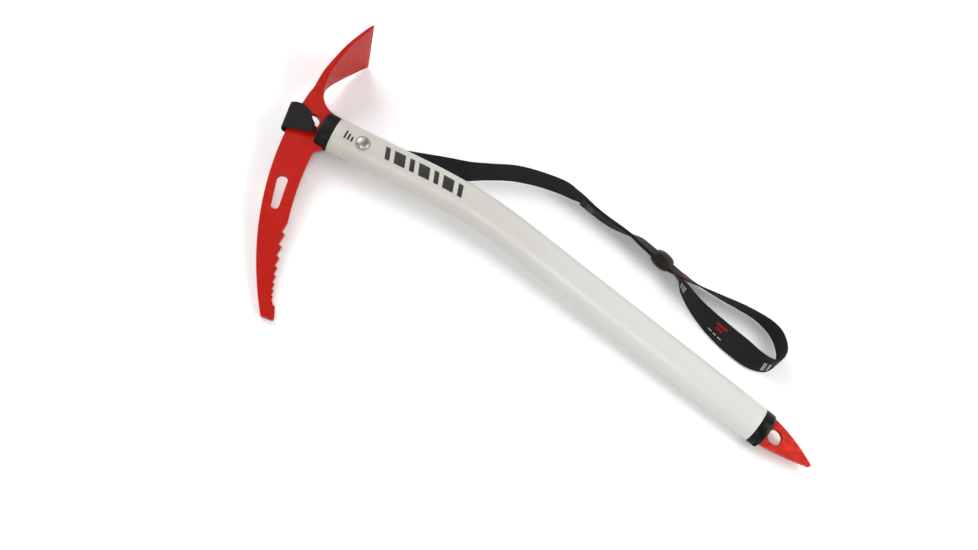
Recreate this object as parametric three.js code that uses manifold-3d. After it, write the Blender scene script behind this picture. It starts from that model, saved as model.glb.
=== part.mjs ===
// A 50 cm walking ice axe with its wrist leash, lying on a flat surface. Millimetres, +Z up.
// The axe is built in its own frame: x runs from the head towards the spike along the grip,
// y points to the adze, z is square to the plate that the pick is cut from. The whole axe is
// then rolled onto its three resting points. The leash is laid out in the resting frame.
import * as THREE from 'three';
import { mergeVertices } from 'three/addons/utils/BufferGeometryUtils.js';
import Module from 'manifold-3d';

const wasm = await Module();
wasm.setup();

const UP = new THREE.Vector3(0, 0, 1);
const GAP = 0.3;                  // air between pieces that touch on the real axe

// shaft: an oval aluminium tube with one bend
const SHAFT_HALF_WIDTH = 15.4;
const SHAFT_HALF_DEPTH = 10.7;
const SHAFT_WALL = 1.6;
const GRIP_STRAIGHT = 82;         // straight length below the head
const BEND_RADIUS = 390;
const BEND_ANGLE = THREE.MathUtils.degToRad(13.1);
const TAIL_STRAIGHT = 237;
const SHAFT_STEPS = 26;
const OVAL_SIDES = 40;

// plates: the head and the spike are cut from the same steel
const PLATE = 4.3;
const TANG_HALF_WIDTH = 10.5;
const HEAD_TANG_END = 44;
const SPIKE_TANG = 36;

// head
const HEAD_BACK = -35.4;          // x of the head's top edge, opposite the shaft
const LEASH_HOLE = { x: -21.3, y: 1.2, r: 7 };
const PICK_SLOT = { top: [-17.3, -54.6], bottom: [-12.2, -76.4], topR: 4.3, bottomR: 3.2 };
const TEETH = 9;
const TOOTH_PITCH = 10.4;
const TOOTH_SHRINK = 0.875;       // each pitch against the one before it
const TOOTH_DEPTH = 0.3;          // depth against pitch
const ADZE_HALF_WIDTH = 33;

// moulded collars at both ends of the shaft
const COLLAR = 11.6;
const FERRULE = 10;
const COLLAR_CHAMFER = 1.6;
const SPIGOT = 12;                // how far a collar reaches into the tube

// rivet through the shaft, the fillers and the head's tang
const RIVET_X = 25;
const RIVET_SHANK = 3;
const RIVET_HEAD = 5.9;
const RIVET_DOME = 2.2;

// spike
const SPIKE_LENGTH = 52.3;        // from the end of the shaft to the point
const SPIKE_HOLE = { x: 17.3, r: 6.3 };

// leash: 20 mm webbing
const WEB = 20;
const WEB_THICK = 1.4;
const LAYER = (WEB_THICK + GAP) / 2;
const BEAD = { length: 17, halfWidth: 12.6, halfDepth: 6.6, slotWidth: 21.4, slotDepth: 5.2 };

// resting attitude of the axe: adze corner, pick point and ferrule touch the surface
const ROLL = THREE.MathUtils.degToRad(7.08);
const PITCH = THREE.MathUtils.degToRad(0.457);

const paint = { color: '#c5281a', roughness: 0.38, metalness: 0.1 };
const black = { color: '#232323', roughness: 0.55, metalness: 0 };
const cream = { color: '#d9d6cf', roughness: 0.36, metalness: 0.15 };
const steel = { color: '#a8a39c', roughness: 0.28, metalness: 0.9 };
const filler = { color: '#3a3a3c', roughness: 0.7, metalness: 0 };
const web = { color: '#262527', roughness: 0.9, metalness: 0 };
const rubber = { color: '#2b2927', roughness: 0.6, metalness: 0 };

// ---- solids -------------------------------------------------------------------------------

// A closed three.js geometry as a manifold solid.
function solid(geometry) {
  const bare = geometry.index ? geometry.toNonIndexed() : geometry.clone();
  for (const name of Object.keys(bare.attributes)) {
    if (name !== 'position') bare.deleteAttribute(name);
  }
  const merged = mergeVertices(bare, 1e-4);
  return new wasm.Manifold(new wasm.Mesh({
    numProp: 3,
    vertProperties: new Float32Array(merged.attributes.position.array),
    triVerts: new Uint32Array(merged.index.array),
  }));
}

function geometryOf(body) {
  const mesh = body.getMesh();
  const geometry = new THREE.BufferGeometry();
  geometry.setAttribute('position', new THREE.BufferAttribute(mesh.vertProperties, 3));
  geometry.setIndex(new THREE.BufferAttribute(mesh.triVerts, 1));
  geometry.computeVertexNormals();
  return geometry;
}

function piece(name, geometry, look) {
  const mesh = new THREE.Mesh(geometry, new THREE.MeshStandardMaterial(look));
  mesh.name = name;
  return mesh;
}

function block(x0, x1, y0, y1, z0, z1) {
  const box = new THREE.BoxGeometry(x1 - x0, y1 - y0, z1 - z0);
  return box.translate((x0 + x1) / 2, (y0 + y1) / 2, (z0 + z1) / 2);
}

// A round bar along z.
function bar(x, y, radius, z0, z1, sides = 32) {
  const cylinder = new THREE.CylinderGeometry(radius, radius, z1 - z0, sides);
  return cylinder.rotateX(Math.PI / 2).translate(x, y, (z0 + z1) / 2);
}

// An oval body along x, turned from a profile of [x, share of the full oval] points.
function oval(profile, halfWidth, halfDepth, sides = OVAL_SIDES) {
  const points = profile.map(([x, share]) => new THREE.Vector2(share, x));
  const turned = new THREE.LatheGeometry(points, sides);
  return turned.rotateZ(-Math.PI / 2).scale(1, halfWidth, halfDepth);
}

function plainOval(x0, x1, halfWidth, halfDepth) {
  return oval([[x0, 0], [x0, 1], [x1, 1], [x1, 0]], halfWidth, halfDepth);
}

// ---- outlines -----------------------------------------------------------------------------

// Points of the circular arc from a to c that passes through b; a itself is left out.
function arcThrough(a, b, c, steps) {
  const [p, q, r] = [a, b, c].map(([x, y]) => new THREE.Vector2(x, y));
  const d = 2 * (p.x * (q.y - r.y) + q.x * (r.y - p.y) + r.x * (p.y - q.y));
  const [pp, qq, rr] = [p, q, r].map((v) => v.lengthSq());
  const centre = new THREE.Vector2(
    (pp * (q.y - r.y) + qq * (r.y - p.y) + rr * (p.y - q.y)) / d,
    (pp * (r.x - q.x) + qq * (p.x - r.x) + rr * (q.x - p.x)) / d,
  );
  const from = p.clone().sub(centre).angle();
  let sweep = r.clone().sub(centre).angle() - from;
  const via = q.clone().sub(centre).angle() - from;
  const full = 2 * Math.PI;
  const turn = (angle) => ((angle % full) + full) % full;
  sweep = turn(via) < turn(sweep) ? turn(sweep) : turn(sweep) - full;
  const radius = p.distanceTo(centre);
  return Array.from({ length: steps }, (_, i) => {
    const angle = from + sweep * ((i + 1) / steps);
    return [centre.x + radius * Math.cos(angle), centre.y + radius * Math.sin(angle)];
  });
}

function plate(outline, holes = []) {
  const shape = new THREE.Shape(outline.map(([x, y]) => new THREE.Vector2(x, y)));
  for (const hole of holes) shape.holes.push(hole);
  const options = { depth: PLATE, bevelEnabled: false, curveSegments: 20 };
  return new THREE.ExtrudeGeometry(shape, options).translate(0, 0, -PLATE / 2);
}

function roundHole(x, y, radius) {
  return new THREE.Path().absarc(x, y, radius, 0, 2 * Math.PI, true);
}

// A slot whose two round ends have radii of their own.
function taperedSlot({ top, bottom, topR, bottomR }) {
  const axis = Math.atan2(top[1] - bottom[1], top[0] - bottom[0]);
  const path = new THREE.Path();
  path.absarc(...top, topR, axis + Math.PI / 2, axis - Math.PI / 2, true);
  path.absarc(...bottom, bottomR, axis - Math.PI / 2, axis - 1.5 * Math.PI, true);
  return path;
}

// The pick's teeth from the root to the point. Each stands on an arc, has a square face
// towards the point and a long back, and is smaller than the one before. A step ends the row.
function teeth() {
  const rootTip = new THREE.Vector2(5.6, -94.6);
  const points = [[2.9, -84.5], [2.4, -93.4]];
  let heading = THREE.MathUtils.degToRad(-75);
  let pitch = TOOTH_PITCH;
  const tip = rootTip.clone();
  for (let i = 0; i < TEETH; i += 1) {
    const along = new THREE.Vector2(Math.cos(heading), Math.sin(heading));
    const inward = new THREE.Vector2(along.y, -along.x);
    const valley = tip.clone().addScaledVector(along, 0.84 * pitch);
    valley.addScaledVector(inward, TOOTH_DEPTH * pitch);
    points.push(tip.toArray());
    if (i < TEETH - 1) points.push(valley.toArray());
    tip.addScaledVector(along, pitch);
    pitch *= TOOTH_SHRINK;
    heading += THREE.MathUtils.degToRad(1.1);
  }
  return [...points, [24.3, -148.8], [26.1, -149.2]];
}

function headOutline() {
  const tangRoot = -3;
  return [
    [-34.0, 25], [HEAD_BACK, -4],
    ...arcThrough([HEAD_BACK, -4], [-16.6, -94.1], [18.6, -158.2], 22),
    ...arcThrough([18.6, -158.2], [19.5, -159.4], [21, -159.8], 3),
    [28, -159.4],
    ...arcThrough([28, -159.4], [29.5, -158.6], [29.8, -157.2], 3),
    ...teeth().reverse(),
    ...arcThrough([2.9, -84.5], [-4.4, -52], [-7.4, -25], 9),
    ...arcThrough([-7.4, -25], [-6.2, -19.7], [-3, -17.2], 5),
    [tangRoot, -TANG_HALF_WIDTH], [HEAD_TANG_END, -TANG_HALF_WIDTH],
    [HEAD_TANG_END, TANG_HALF_WIDTH], [tangRoot, TANG_HALF_WIDTH], [tangRoot, 15.2],
    [-8.4, 15.8],
    ...arcThrough([-8.4, 15.8], [-18.4, 20.8], [-24.2, 30], 8),
  ];
}

// ---- head ---------------------------------------------------------------------------------

// Stations of the adze from the neck to the edge: centre, thickness and half width.
const ADZE = [
  { x: -29.3, y: 24, thick: 9.4, half: PLATE / 2 },
  { x: -28.8, y: 30, thick: 8.3, half: 3.4 },
  { x: -28.8, y: 36, thick: 6.9, half: 7.2 },
  { x: -28.2, y: 43, thick: 5.6, half: 11.9 },
  { x: -26.1, y: 51, thick: 4.5, half: 16.6 },
  { x: -22.9, y: 60.8, thick: 3.8, half: 22.2 },
  { x: -19.6, y: 69, thick: 3.2, half: 26.2 },
  { x: -14.4, y: 80, thick: 2.7, half: 29.9 },
  { x: -12.4, y: 83.8, thick: 2.5, half: 31.2 },
  { x: -10.2, y: 87.7, thick: 0.7, half: ADZE_HALF_WIDTH },
];

// A closed skin over rings that all have the same number of points.
function loft(rings) {
  const count = rings[0].length;
  const position = rings.flat().flatMap((p) => [p.x, p.y, p.z]);
  const index = [];
  for (let r = 0; r < rings.length - 1; r += 1) {
    for (let i = 0; i < count; i += 1) {
      const a = r * count + i;
      const b = r * count + ((i + 1) % count);
      index.push(a, b, b + count, a, b + count, a + count);
    }
  }
  const last = (rings.length - 1) * count;
  for (let i = 1; i < count - 1; i += 1) {
    index.push(0, i + 1, i, last, last + i, last + i + 1);
  }
  const geometry = new THREE.BufferGeometry();
  geometry.setAttribute('position', new THREE.Float32BufferAttribute(position, 3));
  geometry.setIndex(index);
  return geometry;
}

// A smooth curve through points, which also carries sizes or angles along a sweep.
function openCurve(points) {
  return new THREE.CatmullRomCurve3(points, false, 'catmullrom', 0.5);
}

// The eight corners of a flat bar's section, with small chamfers.
function barSection(centre, across, up, halfAcross, halfUp, chamfer) {
  const corners = [];
  for (const [sx, sy] of [[1, -1], [1, 1], [-1, 1], [-1, -1]]) {
    const first = sx * sy > 0;
    for (const cut of [first, !first]) {
      corners.push(centre.clone()
        .addScaledVector(across, sx * (halfAcross - (cut ? 0 : chamfer)))
        .addScaledVector(up, sy * (halfUp - (cut ? chamfer : 0))));
    }
  }
  return corners;
}

function adze() {
  const line = openCurve(ADZE.map(({ x, y }) => new THREE.Vector3(x, y, 0)));
  const size = openCurve(ADZE.map(({ thick, half }) => new THREE.Vector3(thick, half, 0)));
  const steps = 2 * (ADZE.length - 1);
  const rings = Array.from({ length: steps + 1 }, (_, i) => {
    const { x: thick, y: half } = size.getPoint(i / steps);
    const tangent = line.getTangent(i / steps);
    const across = new THREE.Vector3(-tangent.y, tangent.x, 0);
    const chamfer = Math.min(0.5, thick / 4);
    const halfUp = Math.max(PLATE / 2, half);
    return barSection(line.getPoint(i / steps), across, UP, thick / 2, halfUp, chamfer);
  });
  return loft(rings);
}

function head() {
  const holes = [
    roundHole(LEASH_HOLE.x, LEASH_HOLE.y, LEASH_HOLE.r),
    roundHole(RIVET_X, 0, RIVET_SHANK + GAP),
    taperedSlot(PICK_SLOT),
  ];
  const body = solid(plate(headOutline(), holes)).add(solid(adze()));
  return piece('head', geometryOf(body), paint);
}

// ---- shaft --------------------------------------------------------------------------------

// The shaft's axis: straight, a round bend towards the pick's side, straight again.
class ShaftAxis extends THREE.Curve {
  getPoint(t, target = new THREE.Vector3()) {
    const bend = BEND_RADIUS * BEND_ANGLE;
    const s = t * (GRIP_STRAIGHT + bend + TAIL_STRAIGHT);
    const angle = THREE.MathUtils.clamp((s - GRIP_STRAIGHT) / BEND_RADIUS, 0, BEND_ANGLE);
    const before = Math.min(s, GRIP_STRAIGHT);
    const after = Math.max(0, s - GRIP_STRAIGHT - bend);
    return target.set(
      before + BEND_RADIUS * Math.sin(angle) + after * Math.cos(angle),
      -BEND_RADIUS * (1 - Math.cos(angle)) - after * Math.sin(angle),
      0,
    );
  }
}

function shaft() {
  const section = new THREE.Shape();
  section.absellipse(0, 0, SHAFT_HALF_DEPTH, SHAFT_HALF_WIDTH, 0, 2 * Math.PI);
  const bore = new THREE.Path();
  const boreDepth = SHAFT_HALF_DEPTH - SHAFT_WALL;
  bore.absellipse(0, 0, boreDepth, SHAFT_HALF_WIDTH - SHAFT_WALL, 0, 2 * Math.PI, true);
  section.holes.push(bore);
  const tube = new THREE.ExtrudeGeometry(section, {
    steps: SHAFT_STEPS, extrudePath: new ShaftAxis(), curveSegments: OVAL_SIDES / 2,
  });
  const hole = bar(RIVET_X, 0, RIVET_SHANK + GAP, -20, 20);
  return piece('shaft_tube', geometryOf(solid(tube).subtract(solid(hole))), cream);
}

// A group standing at the lower end of the shaft, x along the shaft's last stretch.
function shaftEnd() {
  const end = new THREE.Group();
  end.position.copy(new ShaftAxis().getPoint(1));
  end.rotation.z = -BEND_ANGLE;
  return end;
}

// ---- collars and fillers ------------------------------------------------------------------

const boreWidth = SHAFT_HALF_WIDTH - SHAFT_WALL - GAP;
const boreDepth = SHAFT_HALF_DEPTH - SHAFT_WALL - GAP;
const slot = PLATE / 2 + GAP;

// A moulded cap of the shaft's own outline with a spigot that fills the tube's mouth. Built
// for the shaft's start, with the plate leaving towards -x; deep is how far the plate's full
// width reaches into the cap.
function collar(length, deep) {
  const cap = oval([[-length, 0], [-length, 0.86], [COLLAR_CHAMFER - length, 0.985],
    [-GAP / 2 - 0.8, 1], [-GAP / 2, 0.97], [-GAP / 2, 0]], SHAFT_HALF_WIDTH, SHAFT_HALF_DEPTH);
  const spigot = plainOval(-1, SPIGOT, boreWidth, boreDepth);
  const tangSlot = block(-length - 1, SPIGOT + 1, -TANG_HALF_WIDTH - GAP,
    TANG_HALF_WIDTH + GAP, -slot, slot);
  const mouth = block(-length - 1, deep - length, -20, 20, -slot, slot);
  return solid(cap).add(solid(spigot)).subtract(solid(tangSlot)).subtract(solid(mouth));
}

// One of the two moulded fillers that centre a tang in the tube: side is 1 or -1.
function fillerHalf(x0, x1, side) {
  const plug = solid(plainOval(x0, x1, boreWidth, boreDepth));
  const keep = solid(block(x0 - 1, x1 + 1, -20, 20, side > 0 ? slot : -20, side > 0 ? 20 : -slot));
  return plug.intersect(keep);
}

function headCollar() {
  return piece('head_collar', geometryOf(collar(COLLAR, COLLAR - 2.6)), black);
}

function headFillers() {
  const hole = solid(bar(RIVET_X, 0, RIVET_SHANK + GAP, -20, 20));
  return [['near', 1], ['far', -1]].map(([name, side]) => {
    const body = fillerHalf(SPIGOT + GAP, HEAD_TANG_END - 2, side).subtract(hole);
    return piece(`tang_filler_${name}`, geometryOf(body), filler);
  });
}

function rivet() {
  const steps = 6;
  const dome = Array.from({ length: steps + 1 }, (_, i) => {
    const angle = (i / steps) * Math.PI / 2;
    const rise = SHAFT_HALF_DEPTH + GAP + RIVET_DOME * Math.sin(angle);
    return new THREE.Vector2(RIVET_HEAD * Math.cos(angle), rise);
  });
  dome[steps].x = 0;
  const profile = [new THREE.Vector2(0, 8), new THREE.Vector2(RIVET_HEAD, 8), ...dome];
  const upright = new THREE.LatheGeometry(profile, 32).rotateX(Math.PI / 2);
  const seat = solid(plainOval(-20, 20, SHAFT_HALF_WIDTH + GAP, SHAFT_HALF_DEPTH + GAP));
  const near = solid(upright).subtract(seat);
  const far = near.rotate([180, 0, 0]);
  const reach = SHAFT_HALF_DEPTH + 1;
  const shank = solid(bar(0, 0, RIVET_SHANK, -reach, reach, 24));
  const geometry = geometryOf(near.add(far).add(shank));
  const mesh = piece('head_rivet', geometry, steel);
  mesh.position.x = RIVET_X;
  return mesh;
}

// ---- spike --------------------------------------------------------------------------------

function spike() {
  const root = 6.5;
  const outline = [
    [-SPIKE_TANG, -TANG_HALF_WIDTH], [root - GAP, -TANG_HALF_WIDTH], [root - GAP, -12.6],
    ...arcThrough([root - GAP, -12.6], [28, -8], [SPIKE_LENGTH - 2, -1.5], 8),
    ...arcThrough([SPIKE_LENGTH - 2, -1.5], [SPIKE_LENGTH, -0.3], [SPIKE_LENGTH - 1.1, 1.2], 5),
    ...arcThrough([SPIKE_LENGTH - 1.1, 1.2], [28, 9.8], [root - GAP, 13.8], 8),
    [root - GAP, TANG_HALF_WIDTH], [-SPIKE_TANG, TANG_HALF_WIDTH],
  ];
  const holes = [roundHole(SPIKE_HOLE.x, 0.6, SPIKE_HOLE.r)];
  return piece('spike', plate(outline, holes), { ...paint, color: '#d73628' });
}

function spikeFerrule() {
  const mesh = piece('spike_ferrule', geometryOf(collar(FERRULE, 3.9)), black);
  mesh.rotation.y = Math.PI;
  return mesh;
}

function spikeFillers() {
  return [['near', 1], ['far', -1]].map(([name, side]) => {
    const body = fillerHalf(-SPIKE_TANG + 2, -SPIGOT - GAP, side);
    return piece(`spike_filler_${name}`, geometryOf(body), filler);
  });
}

// ---- leash --------------------------------------------------------------------------------

// The hitch round the head: a ring of webbing through the leash hole and over the head's back.
function hitch() {
  const inner = PLATE / 2 + GAP;
  const outer = inner + 3.2;
  const outline = [[-40.2, 8.5], [-40.6, -3], [-38.6, -15.5], [-19.5, -6.2], [-16.6, -3],
    [-16.6, 4], [-19.5, 6.6], [-31, 10]];
  const shape = new THREE.Shape(outline.map(([x, y]) => new THREE.Vector2(x, y)));
  const full = new THREE.ExtrudeGeometry(shape, { depth: 2 * outer, bevelEnabled: false });
  const ring = solid(full.translate(0, 0, -outer));
  const gapForHead = solid(block(HEAD_BACK - 0.8, -10, -30, 30, -inner, inner));
  const leg = solid(block(-25.8, -18, -3.4, 5.4, -inner - 1, inner + 1));
  return piece('strap_hitch', geometryOf(ring.subtract(gapForHead).add(leg)), web);
}

// Stations of the strap: x, y, z of its middle and its lean in degrees, the angle from flat
// to its width seen along the strap. It leaves the hitch flat, runs below the shaft, stands up
// on its edge, is doubled from the sewn joint on, and falls over before the bead.
const TETHER = [
  [-232.4, 34.8, 15.0, 7], [-224.4, 36.6, 12.0, 5], [-216.4, 38.3, 8.4, 3],
  [-204.4, 40.8, 5.2, 0], [-190.4, 43.8, 3.0, 0], [-170.4, 47.6, 2.4, 5],
  [-150.4, 51.8, 3.9, 16], [-132.4, 56.0, 6.4, 33], [-115.4, 61.0, 8.7, 52],
  [-99.4, 66.8, 10.1, 68], [-84.4, 74.8, 10.5, 77], [-64.6, 84.7, 10.6, 80],
  [-42.7, 90.6, 10.7, 85], [-22.9, 93.0, 10.7, 89], [-11.4, 91.9, 10.6, 98],
];
const DOUBLED = [
  [-4.0, 90.3, 10.4, 105], [8.4, 86.4, 10.2, 109], [19.0, 83.6, 10.1, 110],
  [28.4, 82.0, 10.0, 112], [38.5, 81.3, 9.5, 118], [46.9, 80.8, 9.3, 126],
  [54.6, 79.5, 9.6, 136], [66.1, 75.65, 9.8, 139], [77.05, 71.79, 9.8, 139],
];
const LOOP = [
  [78.15, 71.41, 9.8, 139], [88.6, 67.7, 9.8, 139], [94.6, 66.4, 9.6, 137],
  [100.0, 65.8, 9.4, 134], [107.5, 65.0, 9.2, 128], [116.0, 64.3, 9.3, 123], [137.1, 63.3, 9.9, 113],
  [151.5, 63.1, 10.1, 108], [166.6, 62.0, 10.2, 105], [178.6, 59.0, 10.4, 98],
  [187.6, 53.8, 10.6, 92], [193.6, 46.3, 10.6, 90], [196.2, 38.4, 10.6, 90],
  [194.6, 30.3, 10.6, 93], [188.1, 24.8, 10.5, 101], [175.6, 24.9, 9.2, 120],
  [162.6, 29.2, 7.4, 138], [148.1, 33.2, 8.0, 131], [131.1, 39.0, 9.7, 113],
  [118.0, 45.2, 10.4, 99], [109.0, 51.2, 10.6, 90], [101.3, 57.4, 10.5, 79],
  [95.2, 62.8, 10.0, 60], [88.6, 67.7, 9.8, 41], [78.15, 71.41, 9.8, 41],
];
const BEAD_AT = { x: 77.6, y: 71.6, z: 9.8, heading: -19.4, lean: 139 };
const TACK_AT = { x: 6.1, y: 87.12, z: 10.25, heading: -17.4, lean: 108.2 };

// Places the stations in one layer of the doubled strap: -1, 0 or 1.
function inLayer(stations, layer) {
  return stations.map((station) => [...station, layer]);
}

// Webbing swept along its stations, two rings to each stretch.
function strap(name, stations) {
  const route = openCurve(stations.map(([x, y, z]) => new THREE.Vector3(x, y, z)));
  const turn = openCurve(stations.map(([, , , lean, layer]) => new THREE.Vector3(lean, layer, 0)));
  const steps = 2 * (stations.length - 1);
  const rings = Array.from({ length: steps + 1 }, (_, i) => {
    const centre = route.getPoint(i / steps);
    const along = route.getTangent(i / steps);
    const { x: lean, y: layer } = turn.getPoint(i / steps);
    const angle = THREE.MathUtils.degToRad(lean);
    const width = new THREE.Vector3(-along.y, along.x, 0).normalize().multiplyScalar(Math.cos(angle));
    width.z = Math.sin(angle);
    width.addScaledVector(along, -width.dot(along)).normalize();
    const thin = along.clone().cross(width);
    centre.addScaledVector(thin, layer * LAYER);
    return barSection(centre, width, thin, WEB / 2, WEB_THICK / 2, 0.4);
  });
  return piece(name, loft(rings), web);
}

function onStrap(mesh, { x, y, z, heading, lean }) {
  const rad = THREE.MathUtils.degToRad;
  mesh.position.set(x, y, z);
  mesh.rotation.set(rad(lean), 0, rad(heading), 'ZYX');
  return mesh;
}

// The slider: a rounded oval bead with a flat slot for the two layers of webbing.
function bead() {
  const half = BEAD.length / 2;
  const ends = [[half, 0.78], [half - 0.9, 0.9], [half - 2.6, 0.97], [half - 5, 1]];
  const profile = [[-half, 0], ...ends.map(([x, share]) => [-x, share]),
    ...ends.reverse(), [half, 0]];
  const body = solid(oval(profile, BEAD.halfWidth, BEAD.halfDepth));
  const [wide, deep] = [BEAD.slotWidth / 2, BEAD.slotDepth / 2];
  const slotBlock = solid(block(-half - 1, half + 1, -wide, wide, -deep, deep));
  return onStrap(piece('slider_bead', geometryOf(body.subtract(slotBlock)), rubber), BEAD_AT);
}

// The bar tack that sews the strap's end down, as a thin pad on the outer layer.
function barTack() {
  const lift = LAYER + WEB_THICK / 2 + GAP + 0.25;
  const pad = block(-4.5, 4.5, -8.5, 8.5, lift - 0.25, lift + 0.25);
  return onStrap(piece('joint_bar_tack', pad, web), TACK_AT);
}

// Rolls the axe onto its resting points and moves it over the origin: the middle of its box
// in x and y, its lowest point in z.
function rest(axe) {
  axe.rotation.set(ROLL, PITCH, 0, 'YXZ');
  const box = new THREE.Box3().setFromObject(axe, true);
  const middle = box.getCenter(new THREE.Vector3());
  axe.position.set(-middle.x, -middle.y, -box.min.z);
}

const axe = new THREE.Group();
const tail = shaftEnd();
tail.add(spike(), spikeFerrule(), ...spikeFillers());
axe.add(head(), headCollar(), ...headFillers(), rivet(), shaft(), tail);
rest(axe);
axe.add(hitch());

const iceAxe = new THREE.Group();
iceAxe.add(axe);
iceAxe.add(strap('strap_tether', [...inLayer(TETHER, 0), ...inLayer(DOUBLED, -1)]));
iceAxe.add(strap('strap_return', inLayer(DOUBLED, 1)));
iceAxe.add(strap('wrist_loop', inLayer(LOOP, -1)));
iceAxe.add(bead(), barTack());
export default iceAxe;
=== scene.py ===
"""The looks of a 50 cm walking ice axe with a webbing wrist leash, lying on a pale floor.

The axe's own frame is in millimetres: x runs from the head to the spike along the grip, y points
to the adze and z is square to the plate. The leash is laid out in millimetres in the resting
frame. Each piece is turned into metres in the resting frame as it is made.
"""

import math

import bmesh
import bpy
import numpy as np
from mathutils import Matrix, Quaternion, Vector


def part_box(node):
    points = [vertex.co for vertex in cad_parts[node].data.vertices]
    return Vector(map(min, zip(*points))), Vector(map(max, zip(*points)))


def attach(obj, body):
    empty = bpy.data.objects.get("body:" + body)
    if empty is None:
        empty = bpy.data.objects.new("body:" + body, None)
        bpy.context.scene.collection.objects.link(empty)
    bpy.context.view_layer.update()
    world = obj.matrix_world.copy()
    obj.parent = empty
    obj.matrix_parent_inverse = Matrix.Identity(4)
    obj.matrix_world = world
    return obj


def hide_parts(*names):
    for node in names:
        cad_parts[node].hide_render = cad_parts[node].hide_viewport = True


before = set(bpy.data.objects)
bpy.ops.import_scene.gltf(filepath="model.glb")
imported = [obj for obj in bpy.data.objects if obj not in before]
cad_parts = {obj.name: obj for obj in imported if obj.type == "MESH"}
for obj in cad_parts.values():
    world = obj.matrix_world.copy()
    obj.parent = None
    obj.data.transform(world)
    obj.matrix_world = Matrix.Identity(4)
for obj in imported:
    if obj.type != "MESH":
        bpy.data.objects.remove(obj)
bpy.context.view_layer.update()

# camera
CAMERA_AT = Vector((-0.0584, -0.4196, 0.7488))
CAMERA_AIM = Vector((-0.0475, -0.0074, 0.0))
CAMERA_ROLL = math.radians(27.2)
CAMERA_LENS = 39.16

# brightness of the light tent round the object, at its sides and overhead
TENT_SIDES = 0.80
TENT_TOP = 0.12
TENT_FADE = (0.45, 0.92)  # heights, as shares of the tent's own, between which it darkens

# the axe's driving sizes, as in the CAD
ROLL = math.radians(7.08)
PITCH = math.radians(0.457)
RIVET_X = 25.0
SHAFT_HALF_WIDTH = 15.4
SHAFT_HALF_DEPTH = 10.7
SHAFT_WALL = 1.6
GRIP_STRAIGHT = 82.0
BEND_RADIUS = 390.0
BEND_ANGLE = math.radians(13.1)
TAIL_STRAIGHT = 237.0
PLATE = 4.3
TANG_HALF_WIDTH = 10.5
SPIGOT = 12.0
GAP = 0.3
WEB = 20.0
WEB_THICK = 1.4

# the webbing as it is shown
LAYER = WEB_THICK / 2 + 0.06  # from the middle of the doubled strap to the middle of a layer
RIB = 1.6  # from one rib to the next
RIB_HEIGHT = 0.09  # from the mean face to a crest
GATHER = 24.0  # length over which the strap opens out from the hitch
GATHERED_SHARE = 0.42  # its width in the hitch against its full width

MM = Matrix.Scale(0.001, 4)


def middle(node):
    low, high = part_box(node)
    return (low + high) / 2


TURN = Matrix.Rotation(PITCH, 4, "Y") @ Matrix.Rotation(ROLL, 4, "X")
AXE = Matrix.Translation(middle("head_rivet") - TURN @ Vector((RIVET_X * 0.001, 0, 0))) @ TURN @ MM


# ---- camera, floor and light ---------------------------------------------------------------


def add_camera():
    data = bpy.data.cameras.new("camera")
    data.lens = CAMERA_LENS
    data.sensor_width = 36
    data.clip_start, data.clip_end = 0.01, 20
    camera = bpy.data.objects.new("camera", data)
    bpy.context.scene.collection.objects.link(camera)
    camera.location = CAMERA_AT
    camera.rotation_mode = "QUATERNION"
    look = (CAMERA_AIM - CAMERA_AT).to_track_quat("-Z", "Y")
    camera.rotation_quaternion = look @ Quaternion((0, 0, 1), CAMERA_ROLL)
    bpy.context.scene.camera = camera


def add_area(name, place, aim, size, watts):
    data = bpy.data.lights.new(name, "AREA")
    data.shape = "RECTANGLE"
    data.size, data.size_y = size
    data.energy = watts
    light = bpy.data.objects.new(name, data)
    bpy.context.scene.collection.objects.link(light)
    light.location = place
    light.rotation_euler = (Vector(aim) - Vector(place)).to_track_quat("-Z", "Y").to_euler()


def add_lights():
    """A pale studio: a tent that is darker overhead, a key, a fill and a lamp by the camera."""
    world = bpy.data.worlds.new("studio")
    world.use_nodes = True
    tree = world.node_tree
    place = tree.nodes.new("ShaderNodeTexCoord")
    split = tree.nodes.new("ShaderNodeSeparateXYZ")
    fade = tree.nodes.new("ShaderNodeMapRange")
    tree.links.new(place.outputs["Generated"], split.inputs[0])
    tree.links.new(split.outputs["Z"], fade.inputs[0])
    for socket, value in zip(fade.inputs[1:5], (*TENT_FADE, TENT_SIDES, TENT_TOP)):
        socket.default_value = value
    background = tree.nodes["Background"]
    background.inputs["Color"].default_value = (1.0, 1.0, 1.0, 1)
    tree.links.new(fade.outputs[0], background.inputs["Strength"])
    bpy.context.scene.world = world
    add_area("key", (-0.95, 0.55, 1.0), (0, 0, 0), (0.9, 0.7), 9.5)
    add_area("fill", (0.95, 0.1, 1.0), (0.1, 0.05, 0), (0.8, 0.6), 8.0)
    add_area("lamp", (-0.10, -0.62, 1.05), (0, 0.02, 0.01), (0.42, 0.10), 4.0)


def add_floor():
    mesh = bpy.data.meshes.new("floor")
    reach = 6.0
    corners = [(-reach, -reach, 0), (reach, -reach, 0), (reach, reach, 0), (-reach, reach, 0)]
    mesh.from_pydata(corners, [], [(0, 1, 2, 3)])
    floor = bpy.data.objects.new("floor", mesh)
    bpy.context.scene.collection.objects.link(floor)
    look = Look("pale_floor", Roughness=0.85)
    shade = look.ramp(look.noise(400, 2), (0.0, (0.96, 0.96, 0.96)), (1.0, (0.98, 0.98, 0.98)))
    look.link(shade, look.shader.inputs["Base Color"])
    look.paint(floor)


# ---- materials -----------------------------------------------------------------------------


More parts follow.
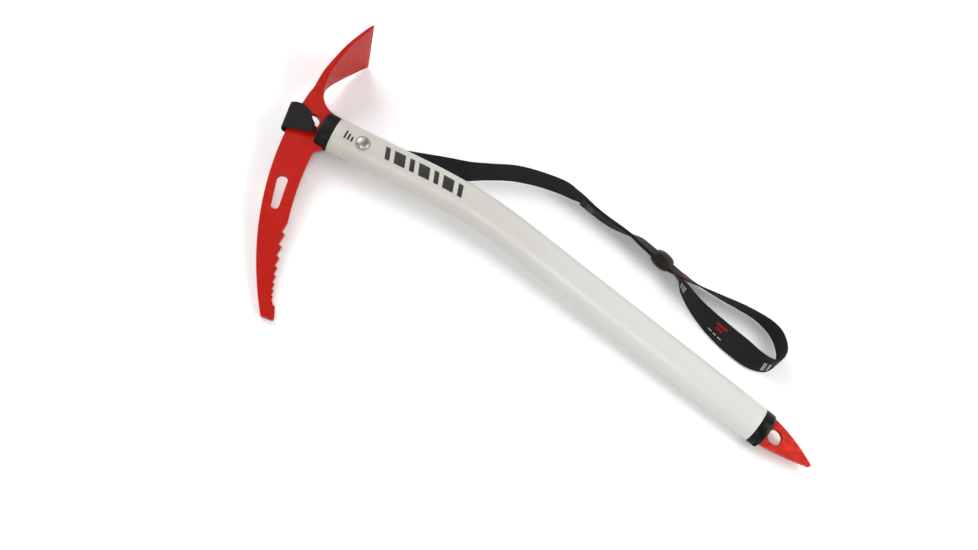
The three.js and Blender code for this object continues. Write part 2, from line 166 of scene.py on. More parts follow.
class Look:
    """A node material: one Principled shader, and short calls that add the nodes before it."""

    def __init__(self, name, **sockets):
        self.material = bpy.data.materials.new(name)
        self.material.use_nodes = True
        self.tree = self.material.node_tree
        self.shader = self.tree.nodes["Principled BSDF"]
        for key, value in sockets.items():
            self.shader.inputs[key.replace("_", " ")].default_value = value
        self.place = self.add("ShaderNodeTexCoord").outputs["Object"]
        self.normal = None

    def add(self, kind, **settings):
        node = self.tree.nodes.new(kind)
        for key, value in settings.items():
            setattr(node, key, value)
        return node

    def link(self, source, target):
        self.tree.links.new(source, target)

    def feed(self, socket, value):
        if isinstance(value, (int, float)):
            socket.default_value = value
        else:
            self.link(value, socket)

    def math(self, operation, *values):
        node = self.add("ShaderNodeMath", operation=operation)
        for socket, value in zip(node.inputs, values):
            self.feed(socket, value)
        return node.outputs[0]

    def noise(self, size_mm, detail=3.0, rough=0.5, stretch=None):
        """Noise whose features are about size_mm across, longer along the stretched axes."""
        node = self.add("ShaderNodeTexNoise")
        node.inputs["Scale"].default_value = 1000 / size_mm
        node.inputs["Detail"].default_value = detail
        node.inputs["Roughness"].default_value = rough
        place = self.place
        if stretch:
            squeeze = self.add("ShaderNodeVectorMath", operation="DIVIDE")
            squeeze.inputs[1].default_value = stretch
            self.link(place, squeeze.inputs[0])
            place = squeeze.outputs[0]
        self.link(place, node.inputs["Vector"])
        return node.outputs[0]

    def lay(self):
        """The piece's own coordinates in millimetres: along, across, and the side or height."""
        node = self.add("ShaderNodeAttribute", attribute_name="lay")
        split = self.add("ShaderNodeSeparateXYZ")
        self.link(node.outputs["Vector"], split.inputs[0])
        return split.outputs

    def mask(self, name):
        return self.add("ShaderNodeAttribute", attribute_name=name).outputs["Fac"]

    def remap(self, value, low, high, to_low=0.0, to_high=1.0):
        node = self.add("ShaderNodeMapRange", interpolation_type="SMOOTHSTEP")
        for socket, number in zip(node.inputs[1:5], (low, high, to_low, to_high)):
            socket.default_value = number
        self.link(value, node.inputs[0])
        return node.outputs[0]

    def ramp(self, factor, *stops):
        node = self.add("ShaderNodeValToRGB")
        elements = node.color_ramp.elements
        for element, (at, colour) in zip(elements, (stops[0], stops[-1])):
            element.position, element.color = at, (*colour, 1)
        for at, colour in stops[1:-1]:
            elements.new(at).color = (*colour, 1)
        self.link(factor, node.inputs[0])
        return node.outputs[0]

    def mix(self, factor, a, b):
        """Colour a turned into colour b as factor rises. Each is a socket or a plain colour."""
        node = self.add("ShaderNodeMix", data_type="RGBA")
        self.link(factor, node.inputs["Factor"])
        for socket, value in ((node.inputs[6], a), (node.inputs[7], b)):
            if isinstance(value, tuple):
                socket.default_value = (*value, 1)
            else:
                self.link(value, socket)
        return node.outputs[2]

    def block(self, along, across, start, end, low, high, soft=0.15):
        """1 inside a printed block, 0 outside it, fading within soft millimetres of its edges."""
        edges = [
            self.remap(along, start - soft, start + soft),
            self.remap(along, end - soft, end + soft, 1.0, 0.0),
            self.remap(across, low - soft, low + soft),
            self.remap(across, high - soft, high + soft, 1.0, 0.0),
        ]
        inside = edges[0]
        for edge in edges[1:]:
            inside = self.math("MULTIPLY", inside, edge)
        return inside

    def bump(self, height, depth_mm, strength):
        node = self.add("ShaderNodeBump")
        node.inputs["Distance"].default_value = depth_mm * 0.001
        node.inputs["Strength"].default_value = strength
        self.link(height, node.inputs["Height"])
        if self.normal:
            self.link(self.normal, node.inputs["Normal"])
        self.normal = node.outputs[0]
        self.link(self.normal, self.shader.inputs["Normal"])

    def colour(self, value):
        self.link(value, self.shader.inputs["Base Color"])

    def rough(self, value):
        self.link(value, self.shader.inputs["Roughness"])

    def paint(self, *pieces):
        for piece in pieces:
            piece.data.materials.clear()
            piece.data.materials.append(self.material)


def painted_steel(name, dark, light, mottle=0.0):
    """Satin paint on forged steel: orange peel, clouding, painted shade that darkens the edges, and
    bare metal where the edges are worn. mottle adds the streaks of a rough ground surface under the
    paint."""
    look = Look(name, Specular_IOR_Level=0.17)
    cloud = look.noise(38, 4, 0.55)
    paint = look.ramp(cloud, (0.3, dark), (0.7, light))
    if mottle:
        streak = look.noise(2.6, 5, 0.62, (2.2, 1, 1))
        deep = look.math("MULTIPLY", look.remap(streak, 0.40, 0.58, 1.0, 0.0), mottle)
        paint = look.mix(deep, paint, (0.30, 0.004, 0.001))
        bright = look.math("MULTIPLY", look.remap(streak, 0.56, 0.68), 0.8 * mottle)
        paint = look.mix(bright, paint, (0.88, 0.075, 0.022))
        look.bump(streak, 0.25, 0.8)
    speck = look.remap(look.noise(0.9, 2), 0.66, 0.74)
    paint = look.mix(look.math("MULTIPLY", speck, 0.25), paint, (0.85, 0.22, 0.14))
    # Painted shade: the crests of the bevelled edges are darkened towards a dark red, standing in for
    # shadowed sides.
    edge = look.remap(look.mask("edge_wear_and_shade"), 0.25, 0.8, 0.0, 0.72)
    paint = look.mix(edge, paint, (0.055, 0.006, 0.003))
    ragged = look.math("ADD", look.mask("edge_wear_and_shade"), look.math("MULTIPLY", look.noise(2.4, 5, 0.65), 0.9))
    bare = look.remap(ragged, 1.14, 1.38)
    steel = look.ramp(look.noise(1.2, 3), (0.35, (0.030, 0.020, 0.018)), (0.65, (0.15, 0.12, 0.11)))
    look.colour(look.mix(bare, paint, steel))
    look.rough(look.remap(look.noise(9, 4, 0.6), 0.3, 0.7, 0.36, 0.50))
    look.link(look.math("MULTIPLY", bare, 0.85), look.shader.inputs["Metallic"])
    look.bump(look.noise(16, 3, 0.5), 0.25, 0.35)
    look.bump(look.noise(0.75, 2, 0.4), 0.03, 0.45)
    look.bump(look.math("SUBTRACT", 1.0, bare), 0.06, 0.8)
    return look


def shaft_coating():
    """Cream coating on the tube, with a generic row of dark bars and a small mark by the rivet."""
    look = Look("cream_coating", Specular_IOR_Level=0.5)
    along, across, height = look.lay()
    cloud = look.noise(60, 4, 0.5)
    cream = look.ramp(cloud, (0.3, (0.485, 0.462, 0.413)), (0.7, (0.525, 0.507, 0.463)))
    # Painted shade: the coating is darker at the head end and lightens over the first 330 mm towards the
    # spike.
    cream = look.mix(look.remap(along, 0, 330), cream, (0.625, 0.62, 0.588))
    grime = look.remap(look.noise(0.6, 2), 0.70, 0.78)
    cream = look.mix(look.math("MULTIPLY", grime, 0.16), cream, (0.42, 0.37, 0.31))
    slanted = look.math("MULTIPLY_ADD", across, 0.32, along)
    bars = [(44.5, 4.2), (52.5, 9.6), (66.0, 4.2), (74.0, 9.6), (87.5, 4.2), (95.5, 9.6), (109.0, 4.2)]
    marks = [look.block(slanted, across, start, start + width, -3.9, 7.1) for start, width in bars]
    for i in range(3):
        start = 9.0 + 3.0 * i
        marks.append(look.block(along, across, start, start + 1.7, -3.4, 4.2 - 1.6 * i))
    ink = marks[0]
    for mark in marks[1:]:
        ink = look.math("MAXIMUM", ink, mark)
    ink = look.math("MULTIPLY", ink, look.remap(height, 0.5, 1.0))
    look.colour(look.mix(ink, cream, (0.028, 0.026, 0.028)))
    look.rough(look.remap(look.noise(14, 4), 0.3, 0.7, 0.33, 0.45))
    look.bump(look.noise(1.1, 2, 0.4), 0.02, 0.35)
    look.bump(look.noise(40, 2, 0.4, (6, 1, 1)), 0.3, 0.2)
    look.bump(ink, 0.03, 0.6)
    return look


def moulded(name, dark, light, roughness):
    """Moulded nylon with a fine spark grain."""
    look = Look(name, Specular_IOR_Level=0.15)
    look.colour(look.ramp(look.noise(6, 4), (0.3, dark), (0.7, light)))
    look.rough(look.remap(look.noise(3, 3), 0.3, 0.7, roughness - 0.06, roughness + 0.06))
    look.bump(look.noise(0.35, 2, 0.5), 0.04, 0.5)
    look.bump(look.noise(7, 2, 0.4), 0.12, 0.3)
    return look


def rubber():
    """Black rubber that turns browner towards one end of the bead."""
    look = Look("slider_rubber", Specular_IOR_Level=0.15)
    along, _, _ = look.lay()
    # Browner towards one end of the bead along its length, with noise on top.
    browning = look.math("ADD", look.noise(5, 5, 0.65), look.remap(along, -6, 8, -0.12, 0.16))
    look.colour(look.ramp(browning, (0.38, (0.005, 0.005, 0.0055)), (0.72, (0.024, 0.015, 0.009))))
    look.rough(look.remap(look.noise(2, 3), 0.3, 0.7, 0.42, 0.62))
    look.bump(look.noise(0.4, 2), 0.04, 0.5)
    return look


def bright_steel():
    """A turned rivet head: fine rings, a brushed grain and small knocks."""
    look = Look("rivet_steel", Metallic=1.0)
    along, _, _ = look.lay()
    rings = look.math("SINE", look.math("MULTIPLY", along, 2 * math.pi / 0.5))
    look.colour(look.ramp(look.noise(2.5, 4), (0.3, (0.31, 0.295, 0.27)), (0.7, (0.45, 0.43, 0.40))))
    look.rough(look.remap(look.noise(1.4, 3), 0.3, 0.7, 0.34, 0.46))
    look.bump(rings, 0.012, 0.4)
    look.bump(look.noise(1.6, 3), 0.05, 0.3)
    return look


def webbing_look(name, marks=()):
    """Black woven webbing: cross ribs, warp yarns in a brick pattern, fibre sheen and woven marks.

    Each mark is (colour, start, end, low, high) in millimetres along and across the strap, on
    the face whose side is -1.
    """
    look = Look(name, Sheen_Weight=0.03, Sheen_Roughness=0.4, Specular_IOR_Level=0.14)
    along, across, side = look.lay()
    rib = look.math("COSINE", look.math("MULTIPLY", along, 2 * math.pi / RIB))
    row = look.math("FLOOR", look.math("MULTIPLY", along, 1 / RIB))
    yarn = look.math("MULTIPLY_ADD", row, math.pi, look.math("MULTIPLY", across, 2 * math.pi / 1.15))
    yarn = look.math("SINE", yarn)
    weave = look.math("MULTIPLY_ADD", yarn, 0.3, rib)
    crest = look.remap(weave, -1.1, 1.2)
    fibre = look.noise(0.22, 2, 0.6)
    tone = look.math("MULTIPLY_ADD", look.noise(14, 3), 0.3, look.math("MULTIPLY", crest, 0.7))
    cloth = look.ramp(tone, (0.1, (0.0035, 0.0034, 0.0040)), (0.9, (0.024, 0.0235, 0.026)))
    for colour, start, end, low, high in marks:
        inside = look.block(along, across, start, end, low, high)
        inside = look.math("MULTIPLY", inside, look.remap(side, -0.2, -0.6))
        inside = look.math("MULTIPLY", inside, look.remap(crest, 0.1, 0.55))
        cloth = look.mix(inside, cloth, colour)
    look.colour(cloth)
    look.rough(look.remap(fibre, 0.3, 0.7, 0.68, 0.88))
    look.bump(weave, 0.07, 0.8)
    look.bump(fibre, 0.03, 0.5)
    return look


def thread_look():
    look = Look("thread", Sheen_Weight=0.3, Roughness=0.6)
    along, _, _ = look.lay()
    twist = look.math("SINE", look.math("MULTIPLY", along, 2 * math.pi / 0.5))
    tone = look.remap(twist, -1, 1)
    look.colour(look.ramp(tone, (0.2, (0.010, 0.010, 0.011)), (0.8, (0.045, 0.044, 0.047))))
    look.bump(twist, 0.03, 0.7)
    return look


# ---- mesh helpers --------------------------------------------------------------------------


def new_piece(name, points, faces, matrix, lay=None):
    """A smooth-shaded mesh object, with its own coordinates kept in the lay attribute."""
    mesh = bpy.data.meshes.new(name)
    mesh.from_pydata([tuple(p) for p in points], [], faces)
    mesh.transform(matrix)
    mesh.shade_smooth()
    if lay is not None:
        attribute = mesh.attributes.new("lay", "FLOAT_VECTOR", "POINT")
        attribute.data.foreach_set("vector", np.array(lay, np.float32).ravel())
    piece = bpy.data.objects.new(name, mesh)
    bpy.context.scene.collection.objects.link(piece)
    return piece


def ring_faces(rings, count, start=0, closed=False):
    """Quads over rings of count points each; a closed sweep joins the last ring to the first."""
    faces = []
    for r in range(rings if closed else rings - 1):
        a, b = start + r * count, start + ((r + 1) % rings) * count
        for i in range(count):
            j = (i + 1) % count
            faces.append((a + i, a + j, b + j, b + i))
    return faces


def fan_faces(tip, base, count, turned):
    """Triangles from the point tip to a ring of count points that starts at base."""
    pairs = [(base + i, base + (i + 1) % count) for i in range(count)]
    return [(tip, b, a) if turned else (tip, a, b) for a, b in pairs]


def apply_modifiers(piece):
    graph = bpy.context.evaluated_depsgraph_get()
    mesh = bpy.data.meshes.new_from_object(piece.evaluated_get(graph))
    piece.modifiers.clear()
    piece.data = mesh


def cut(piece, tool):
    modifier = piece.modifiers.new("cut", "BOOLEAN")
    modifier.operation = "DIFFERENCE"
    modifier.solver = "EXACT"
    modifier.object = tool
    apply_modifiers(piece)
    bpy.data.objects.remove(tool)


def block(low, high, matrix):
    points = [(x, y, z) for x in (low[0], high[0]) for y in (low[1], high[1]) for z in (low[2], high[2])]
    faces = [(0, 1, 3, 2), (4, 6, 7, 5), (0, 4, 5, 1), (2, 3, 7, 6), (0, 2, 6, 4), (1, 5, 7, 3)]
    return new_piece("tool", points, faces, matrix)


def round_edges(piece, width_mm, segments=3, angle=0.6):
    """Bevels the sharp edges, marks the crests of the bevels for edge wear and painted edge shade, and
    evens the shading.
    """
    work = bmesh.new()
    work.from_mesh(piece.data)
    bmesh.ops.remove_doubles(work, verts=work.verts, dist=1e-6)
    bmesh.ops.dissolve_limit(
        work, angle_limit=0.002, verts=work.verts, edges=work.edges, use_dissolve_boundaries=False
    )
    sharp = [e for e in work.edges if len(e.link_faces) == 2 and e.calc_face_angle(0) > angle]
    made = bmesh.ops.bevel(
        work, geom=sharp, offset=width_mm * 0.001, offset_type="OFFSET", segments=segments,
        profile=0.5, affect="EDGES", clamp_overlap=True,
    )
    # The mask of the bevel crests: where the paint wears to bare steel, and where painted shade darkens
    # the edges.
    layer = work.verts.layers.float.new("edge_wear_and_shade")
    bevels = set(made["faces"])
    for vert in work.verts:
        if all(face in bevels for face in vert.link_faces):
            vert[layer] = 1.0
    bmesh.ops.triangulate(work, faces=[f for f in work.faces if len(f.verts) > 4])
    work.to_mesh(piece.data)
    work.free()
    piece.data.shade_smooth()
    even = piece.modifiers.new("even", "WEIGHTED_NORMAL")
    even.weight = 60


def copy_of(node, name):
    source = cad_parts[node]
    mesh = source.data.copy()
    mesh.name = name
    piece = bpy.data.objects.new(name, mesh)
    bpy.context.scene.collection.objects.link(piece)
    return piece


# ---- leash ---------------------------------------------------------------------------------

# Stations of the strap: x, y, z of its middle and its lean in degrees, the angle from flat
# to its width seen along the strap.
TETHER = [
    (-232.4, 34.8, 15.0, -57), (-224.4, 36.6, 12.0, -52), (-216.4, 38.3, 8.4, -28),
    (-204.4, 40.8, 5.2, -6), (-190.4, 43.8, 3.0, 0), (-170.4, 47.6, 2.4, 5),
    (-150.4, 51.8, 3.9, 16), (-132.4, 56.0, 6.4, 33), (-115.4, 61.0, 8.7, 52),
    (-99.4, 66.8, 10.1, 68), (-84.4, 74.8, 10.5, 77), (-64.6, 84.7, 10.6, 80),
    (-42.7, 90.6, 10.7, 85), (-22.9, 93.0, 10.7, 89), (-11.4, 91.9, 10.6, 98),
]
DOUBLED = [
    (-4.0, 90.3, 10.4, 105), (8.4, 86.4, 10.2, 109), (19.0, 83.6, 10.1, 110),
    (28.4, 82.0, 10.0, 112), (38.5, 81.3, 9.5, 118), (46.9, 80.8, 9.3, 126),
    (54.6, 79.5, 9.6, 136), (66.1, 75.65, 9.8, 139), (77.05, 71.79, 9.8, 139),
]
LOOP = [
    (78.15, 71.41, 9.8, 139), (88.6, 67.7, 9.8, 139), (94.6, 66.4, 9.6, 137),
    (100.0, 65.8, 9.4, 134), (107.5, 65.0, 9.2, 128), (116.0, 64.3, 9.3, 123), (137.1, 63.3, 9.9, 113),
    (151.5, 63.1, 10.1, 108), (166.6, 62.0, 10.2, 105), (178.6, 59.0, 10.4, 98),
    (187.6, 53.8, 10.6, 92), (193.6, 46.3, 10.6, 90), (196.2, 38.4, 10.6, 90),
    (194.6, 30.3, 10.6, 93), (188.1, 24.8, 10.5, 101), (175.6, 24.9, 9.2, 120),
    (162.6, 29.2, 7.4, 138), (148.1, 33.2, 8.0, 131), (131.1, 39.0, 9.7, 113),
    (118.0, 45.2, 10.4, 99), (109.0, 51.2, 10.6, 90), (101.3, 57.4, 10.5, 79),
    (95.2, 62.8, 10.0, 60), (88.6, 67.7, 9.8, 41), (78.15, 71.41, 9.8, 41),
]


def on_strap(place, heading, lean):
    """The frame of a piece on the strap: x along the strap and y across it."""
    return (
        Matrix.Translation(Vector(place) * 0.001)
        @ Matrix.Rotation(math.radians(heading), 4, "Z")
        @ Matrix.Rotation(math.radians(lean), 4, "X")
        @ MM
    )


BEAD_MATRIX = on_strap((77.6, 71.6, 9.8), -19.4, 139)
TACK_MATRIX = on_strap((6.1, 87.12, 10.25), -17.4, 108.2)


def in_layer(stations, layer):
    return [(*station, layer) for station in stations]


def spline(values, at):
    """Points of a uniform Catmull-Rom curve through values, and its slopes, at stations at."""
    values = np.array(values, float)
    ends = (2 * values[0] - values[1], 2 * values[-1] - values[-2])
    padded = np.vstack([ends[0], values, ends[1]])
    at = np.clip(np.asarray(at, float), 0, len(values) - 1)
    i = np.minimum(at.astype(int), len(values) - 2)
    u = (at - i)[:, None]
    p0, p1, p2, p3 = (padded[i + k] for k in range(4))
    a, b, c = 2 * p0 - 5 * p1 + 4 * p2 - p3, 3 * p1 - 3 * p2 + p3 - p0, p2 - p0
    point = p1 + 0.5 * (c * u + a * u**2 + b * u**3)
    slope = 0.5 * (c + 2 * a * u + 3 * b * u**2)
    return point, slope


def unit(vectors):
    return vectors / np.linalg.norm(vectors, axis=-1, keepdims=True)


def evenly(values, step):
    """Stations at which a curve through values has points step apart."""
    fine = np.linspace(0, len(values) - 1, 60 * len(values))
    line, _ = spline(np.array(values, float)[:, :3], fine)
    run = np.concatenate([[0], np.cumsum(np.linalg.norm(np.diff(line, axis=0), axis=1))])
    return np.interp(np.linspace(0, run[-1], round(run[-1] / step) + 1), run, fine)


def strap_rings(stations):
    """Centres, width directions and thin directions of rings a quarter of a rib apart."""
    values, slope = spline(stations, evenly(stations, RIB / 4))
    along = unit(slope[:, :3])
    lean = np.radians(values[:, 3:4])
    flat = unit(np.stack([-along[:, 1], along[:, 0], 0 * along[:, 0]], axis=1))
    width = flat * np.cos(lean) + np.array([0, 0, 1]) * np.sin(lean)
    width = unit(width - along * (width * along).sum(1, keepdims=True))
    thin = np.cross(along, width)
    centre = values[:, :3] + thin * values[:, 4:5] * LAYER
    return centre, width, thin


def web_section():
    """Points round the webbing's section as (across, height) shares, and each one's side."""
    flat = np.linspace(-0.94, 0.94, 11)
    turn = np.radians([60, 20, -20, -60])
    section = [(u, 1.0, 1) for u in flat]
    section += [(0.94 + 0.06 * math.cos(t), math.sin(t), 0) for t in turn]
    section += [(u, -1.0, -1) for u in flat[::-1]]
    section += [(-0.94 - 0.06 * math.cos(t), -math.sin(t), 0) for t in turn]
    return section


def webbing(name, centre, width, thin, half, fold, closed=False, matrix=MM):
    """Woven strap over rings. half is its half width and fold how deep it is puckered there."""
    count = len(centre)
    section = web_section()
    run = np.arange(count) * RIB / 4
    points, lay = [], []
    for k in range(count):
        swell = RIB_HEIGHT * math.cos(2 * math.pi * run[k] / RIB)
        for u, v, side in section:
            edge = 1 - 0.5 * max(0.0, abs(u) - 0.85) / 0.15
            pucker = fold[k] * math.sin(2.5 * math.pi * u + 0.6)
            height = v * (WEB_THICK / 2 - RIB_HEIGHT + swell * edge) + pucker
            points.append(centre[k] + width[k] * u * half[k] + thin[k] * height)
            lay.append((run[k], u * WEB / 2, side))
    size = len(section)
    faces = ring_faces(count, size, closed=closed)
    if not closed:
        last = (count - 1) * size
        faces.append(tuple(range(size))[::-1])
        faces.append(tuple(range(last, last + size)))
    return new_piece(name, points, faces, matrix, lay)


# Stations of the hitch in the axe's frame, from inside the leash hole to the back of the head:
# the strap's upper edge, its lower edge and how deep it is puckered.
HITCH = [
    ((-18.6, -1.2, 0.0), (-14.8, -3.4, 0.0), 0.45), ((-19.3, 0.6, 3.0), (-13.9, -4.0, 3.2), 0.45),
    ((-21.0, 3.4, 4.6), (-15.2, -7.4, 4.8), 0.4), ((-24.2, 7.2, 4.9), (-19.4, -9.7, 5.2), 0.25),
    ((-28.6, 9.6, 4.9), (-26.1, -11.6, 5.0), 0.15), ((-33.1, 10.8, 4.7), (-32.8, -13.8, 4.7), 0.1),
    ((-38.6, 9.9, 4.3), (-36.6, -14.7, 4.3), 0.05), ((-41.8, 9.0, 2.5), (-38.4, -15.0, 2.5), 0.0),
    ((-42.4, 8.8, 0.0), (-38.9, -15.0, 0.0), 0.0),
]


def make_hitch():
    """The webbing hitched round the head: out of the leash hole, round the back, and in again."""
    near = [(*high, *low, fold) for high, low, fold in HITCH]
    far = [(a, b, -c, d, e, -f, fold) for a, b, c, d, e, f, fold in near[-2:0:-1]]
    loop = near + far
    at = evenly([np.add(p[:3], p[3:6]) / 2 for p in loop + loop[:3]], RIB / 4)
    at = at[(at >= 1) & (at < len(loop) + 1)]
    values, slope = spline(loop + loop[:3], at)
    high, low = values[:, :3], values[:, 3:6]
    along = unit(slope[:, :3] + slope[:, 3:6])
    width = unit(high - low)
    thin = unit(np.cross(along, width))
    half = np.linalg.norm(high - low, axis=1) / 2
    return webbing("leash_hitch", (high + low) / 2, width, thin, half, values[:, 6], True, AXE)


def sweep_strap(name, stations, gathered=False):
    """A strap over its stations. A gathered one starts narrow and puckered, as in a hitch."""
    centre, width, thin = strap_rings(stations)
    run = np.arange(len(centre)) * RIB / 4
    free = np.clip(run / GATHER, 0, 1) ** 1.2 if gathered else np.ones(len(run))
    half = WEB / 2 * (GATHERED_SHARE + (1 - GATHERED_SHARE) * free)
    piece = webbing(name, centre, width, thin, half, 0.6 * (1 - free))
    return piece, centre * 0.001


def tube(name, line, radius, matrix, sides=8):
    """A round thread along a line."""
    line = np.array(line, float)
    along = unit(np.gradient(line, axis=0))
    side = unit(np.cross(along, np.array([0.3, 0.2, 1.0])))
    up = np.cross(side, along)
    points, lay = [], []
    run = np.concatenate([[0], np.cumsum(np.linalg.norm(np.diff(line, axis=0), axis=1))])
    for k, centre in enumerate(line):
        for i in range(sides):
            angle = 2 * math.pi * i / sides
            points.append(centre + radius * (side[k] * math.cos(angle) + up[k] * math.sin(angle)))
            lay.append((run[k] + 0.25 * i / sides, 0, 1))
    last = (len(line) - 1) * sides
    faces = ring_faces(len(line), sides)
    faces += [tuple(range(sides))[::-1], tuple(range(last, last + sides))]
    return new_piece(name, points, faces, matrix, lay)


def make_tack():
    """The bar tack: a zigzag of thread that lies on the strap's returning end."""
    thread, zigs, reach, half_row = 0.24, 22, 4.0, 8.2
    height = LAYER + WEB_THICK / 2 + 0.16
    line = []
    for i in range(zigs * 6 + 1):
        t = i / 6
        swing = 2 * abs((t % 2) - 1) - 1
        across = 2 * half_row * t / zigs - half_row
        line.append((reach * swing, across, height + 0.12 * (1 - swing**2)))
    return tube("joint_stitches", line, thread, TACK_MATRIX)


# Woven marks on the loop's outer face: colour, start, end, low and high across it.
CHALK = (0.50, 0.51, 0.53)
CRIMSON = (0.40, 0.012, 0.012)
LOOP_MARKS = [
    (CRIMSON, 20.0, 27.0, -3.5, 3.0),
    (CHALK, 144.8, 147.0, -7, 2.5), (CHALK, 148.6, 150.8, -7, 2.5),
    (CRIMSON, 190.5, 201.5, 3.2, 5.6), (CRIMSON, 192.5, 199.5, -0.6, 1.8),
    (CHALK, 189.0, 192.6, -5.4, -4.2), (CHALK, 194.2, 197.8, -5.4, -4.2),
    (CHALK, 199.4, 203.0, -5.4, -4.2),
    (CHALK, 237.6, 239.2, -4, 5), (CHALK, 239.8, 241.4, -4, 5), (CHALK, 242.0, 243.6, -4, 5),
    (CHALK, 247.0, 250.0, -4, 1),
]


def make_leash():
    """One strap in two pieces that meet inside the slider: the tether, and the loop with its
    returning end on top of the tether."""
    there = in_layer(TETHER, 0) + in_layer(DOUBLED, -1)
    back = [(x, y, z, 180 - lean) for x, y, z, lean in DOUBLED[::-1]]
    tether, tether_line = sweep_strap("leash_tether", there, gathered=True)
    loop, loop_line = sweep_strap("leash_loop", in_layer(LOOP[:-1] + back, -1))
    hitch, tack, bead = make_hitch(), make_tack(), make_bead()
    webbing_look("plain_webbing").paint(tether, hitch)
    webbing_look("marked_webbing", LOOP_MARKS).paint(loop)
    thread_look().paint(tack)
    rubber().paint(bead)
    for piece, nodes in (
        (tether, ["strap_tether"]), (loop, ["wrist_loop", "strap_return"]),
        (hitch, ["strap_hitch"]), (tack, ["joint_bar_tack"]),
    ):
        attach(piece, "axe")
        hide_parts(*nodes)
    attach(bead, "slider")
    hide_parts("slider_bead")


def oval_body(name, profile, matrix, sides=96):
    """A closed oval body along x over a profile of (x, half width, half depth) points."""
    points = []
    inner = profile[1:-1]
    for x, width, depth in inner:
        for i in range(sides):
            angle = 2 * math.pi * i / sides
            points.append((x, width * math.cos(angle), depth * math.sin(angle)))
    faces = ring_faces(len(inner), sides)
    last = (len(inner) - 1) * sides
    for x, base, turned in ((profile[0][0], 0, True), (profile[-1][0], last, False)):
        faces += fan_faces(len(points), base, sides, turned)
        points.append((x, 0, 0))
    return new_piece(name, points, faces, matrix, list(points))


def make_bead():
    """The slider: a rounded bead with softened lips round the slot."""
    half, steps = 8.6, 17
    end_width, end_depth = 10.8, 3.7
    slot = (10, 10.45, 2.2)
    profile = [(-half, 0, 0)]
    for i in range(steps):
        reach = math.sin((i / (steps - 1) - 0.5) * math.pi)
        swell = max(0.0, 1 - abs(reach) ** 2.2)
        profile.append((half * reach, end_width + 1.9 * swell**0.6, end_depth + 3.0 * swell**0.7))
    profile.append((half, 0, 0))
    bead = oval_body("slider_bead_body", profile, BEAD_MATRIX, 64)
    cut(bead, block([-size for size in slot], slot, BEAD_MATRIX))
    round_edges(bead, 0.5, 3, 0.7)
    return bead


# ---- shaft and its ends --------------------------------------------------------------------


def shaft_axis(s):
    angle = min(max((s - GRIP_STRAIGHT) / BEND_RADIUS, 0.0), BEND_ANGLE)
    before = min(s, GRIP_STRAIGHT)
    after = max(0.0, s - GRIP_STRAIGHT - BEND_RADIUS * BEND_ANGLE)
    x = before + BEND_RADIUS * math.sin(angle) + after * math.cos(angle)
    y = -BEND_RADIUS * (1 - math.cos(angle)) - after * math.sin(angle)
    return Vector((x, y, 0)), angle


SHAFT_LENGTH = GRIP_STRAIGHT + BEND_RADIUS * BEND_ANGLE + TAIL_STRAIGHT
TAIL = AXE @ Matrix.Translation(shaft_axis(SHAFT_LENGTH)[0]) @ Matrix.Rotation(-BEND_ANGLE, 4, "Z")


def make_shaft():
    """The bent oval tube with its bore, open at both ends under the collars."""
    sides, rings = 96, 150
    points, lay = [], []
    for wall in (0.0, SHAFT_WALL):
        for r in range(rings + 1):
            s = SHAFT_LENGTH * r / rings
            centre, angle = shaft_axis(s)
            across = Vector((math.sin(angle), math.cos(angle), 0))
            for i in range(sides):
                turn = 2 * math.pi * i / sides
                y = (SHAFT_HALF_WIDTH - wall) * math.cos(turn)
                z = (SHAFT_HALF_DEPTH - wall) * math.sin(turn)
                points.append(centre + across * y + Vector((0, 0, z)))
                lay.append((s, y, z))
    size = (rings + 1) * sides
    faces = ring_faces(rings + 1, sides)
    faces += [face[::-1] for face in ring_faces(rings + 1, sides, start=size)]
    for i in range(sides):
        j = (i + 1) % sides
        faces.append((i, size + i, size + j, j))
        last = rings * sides
        faces.append((last + j, last + size + j, last + size + i, last + i))
    shaft = new_piece("shaft", points, faces, AXE, lay)
    even = shaft.modifiers.new("even", "WEIGHTED_NORMAL")
    even.weight = 60
    shaft_coating().paint(shaft)
    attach(shaft, "axe")
    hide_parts("shaft_tube")


def make_collar(name, node, length, deep, matrix, look):
    """A moulded cap with rounded rims, a spigot in the tube and a slot for the plate."""
    rim = [(-length, 0), (-length, 0.84), (-length + 0.25, 0.90), (-length + 0.8, 0.95)]
    rim += [(-length + 1.7, 0.985), (-length + 3.0, 1.0), (-1.3, 1.006), (-0.6, 1.0), (-0.2, 0.975)]
    bore = (SHAFT_HALF_WIDTH - SHAFT_WALL - GAP) / SHAFT_HALF_WIDTH
    rim += [(-0.15, bore - 0.02), (SPIGOT - 0.8, bore - 0.02), (SPIGOT, bore - 0.06), (SPIGOT, 0)]
    rim = [(x, share * SHAFT_HALF_WIDTH, share * SHAFT_HALF_DEPTH) for x, share in rim]
    collar = oval_body(name, rim, matrix)
    slot = PLATE / 2 + GAP
    narrow = TANG_HALF_WIDTH + GAP
    cut(collar, block((-length - 1, -narrow, -slot), (SPIGOT + 1, narrow, slot), matrix))
    cut(collar, block((-length - 1, -20, -slot), (deep - length, 20, slot), matrix))
    round_edges(collar, 0.3, 2, 0.75)
    look.paint(collar)
    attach(collar, "axe")
    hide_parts(node)


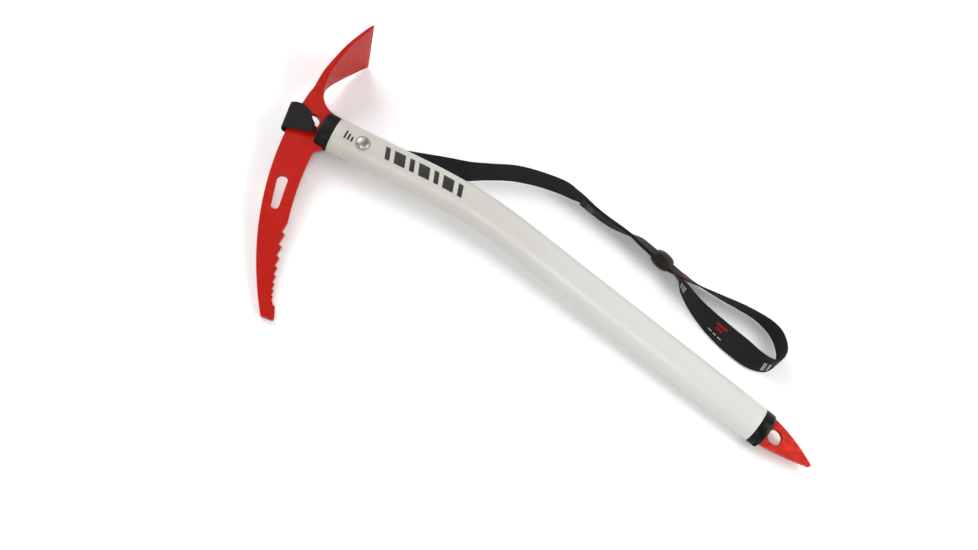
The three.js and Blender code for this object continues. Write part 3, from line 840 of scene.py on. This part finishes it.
def make_rivet():
    """The domed rivet: a head on each face of the tube, and the shank between them."""
    head, shank, seat, dome = 5.9, 3.0, 9.3, 2.3
    face = SHAFT_HALF_DEPTH
    arc = [(head * math.cos(a), face + dome * math.sin(a)) for a in np.radians(range(0, 90, 9))]
    rise = [(0.0, face + dome), *reversed(arc), (head - 0.1, face - 0.3)]
    rise += [(head - 0.2, seat), (shank, seat)]
    profile = rise + [(r, -z) for r, z in reversed(rise)]
    sides = 64
    points, lay = [], []
    for radius, z in profile[1:-1]:
        for i in range(sides):
            angle = 2 * math.pi * i / sides
            points.append((radius * math.cos(angle), radius * math.sin(angle), z))
            lay.append((radius, 0, z))
    faces = [quad[::-1] for quad in ring_faces(len(profile) - 2, sides)]
    last = (len(profile) - 3) * sides
    for z, base, turned in ((profile[0][1], 0, False), (profile[-1][1], last, True)):
        faces += fan_faces(len(points), base, sides, turned)
        points.append((0, 0, z))
        lay.append((0, 0, z))
    rivet = new_piece("rivet", points, faces, AXE @ Matrix.Translation((RIVET_X, 0, 0)), lay)
    bright_steel().paint(rivet)
    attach(rivet, "axe")
    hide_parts("head_rivet")


def make_steel(name, node, look, width):
    piece = copy_of(node, name)
    round_edges(piece, width)
    look.paint(piece)
    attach(piece, "axe")
    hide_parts(node)


def finish_fillers():
    look = moulded("filler_nylon", (0.035, 0.035, 0.037), (0.055, 0.055, 0.058), 0.6)
    for node in ("tang_filler_near", "tang_filler_far", "spike_filler_near", "spike_filler_far"):
        look.paint(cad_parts[node])


add_camera()
make_leash()
add_lights()
add_floor()
make_shaft()
make_collar(
    "head_cap", "head_collar", 11.6, 9.0, AXE,
    moulded("cap_nylon", (0.0035, 0.0035, 0.004), (0.008, 0.008, 0.0085), 0.50),
)
make_collar(
    "spike_cap", "spike_ferrule", 10.0, 3.9, TAIL @ Matrix.Rotation(math.pi, 4, "Y"),
    moulded("ferrule_nylon", (0.004, 0.004, 0.0045), (0.009, 0.009, 0.0095), 0.26),
)
make_rivet()
red = painted_steel("red_paint", (0.395, 0.0055, 0.0012), (0.445, 0.0085, 0.0022))
make_steel("axe_head", "head", red, 0.45)
bright_red = painted_steel("spike_red_paint", (0.54, 0.010, 0.004), (0.68, 0.022, 0.010), 0.55)
make_steel("axe_spike", "spike", bright_red, 0.4)
finish_fillers()

bpy.context.scene.view_settings.view_transform = "Standard"
